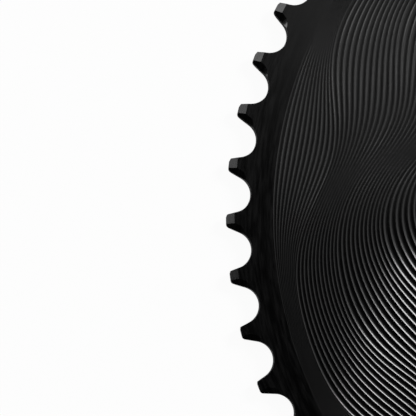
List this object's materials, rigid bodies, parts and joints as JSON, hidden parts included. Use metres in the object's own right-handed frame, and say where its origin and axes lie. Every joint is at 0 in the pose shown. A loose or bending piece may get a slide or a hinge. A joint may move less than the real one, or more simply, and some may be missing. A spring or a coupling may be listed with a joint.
{
  "type": "bicycle chainring",
  "caption": "Round toothed chainring plate with directional chain teeth, a plain rim, a face of flowing machined lines, a bolt circle and a round hub opening.",
  "frame": {"origin": "on the ring's axis, in the plane of its flat back", "axes": "+Z along the ring's axis, out of its ridged front face; +X through the middle of a tooth gap and through one bolt hole"},
  "size_m": [0.2126, 0.2126, 0.0036],
  "materials": {
    "anodised_aluminium": "black anodised, with bare fine machining lines and a satin rim"
  },
  "bodies": {
    "root": {"chainring": "anodised_aluminium"}
  },
  "joints": []
}
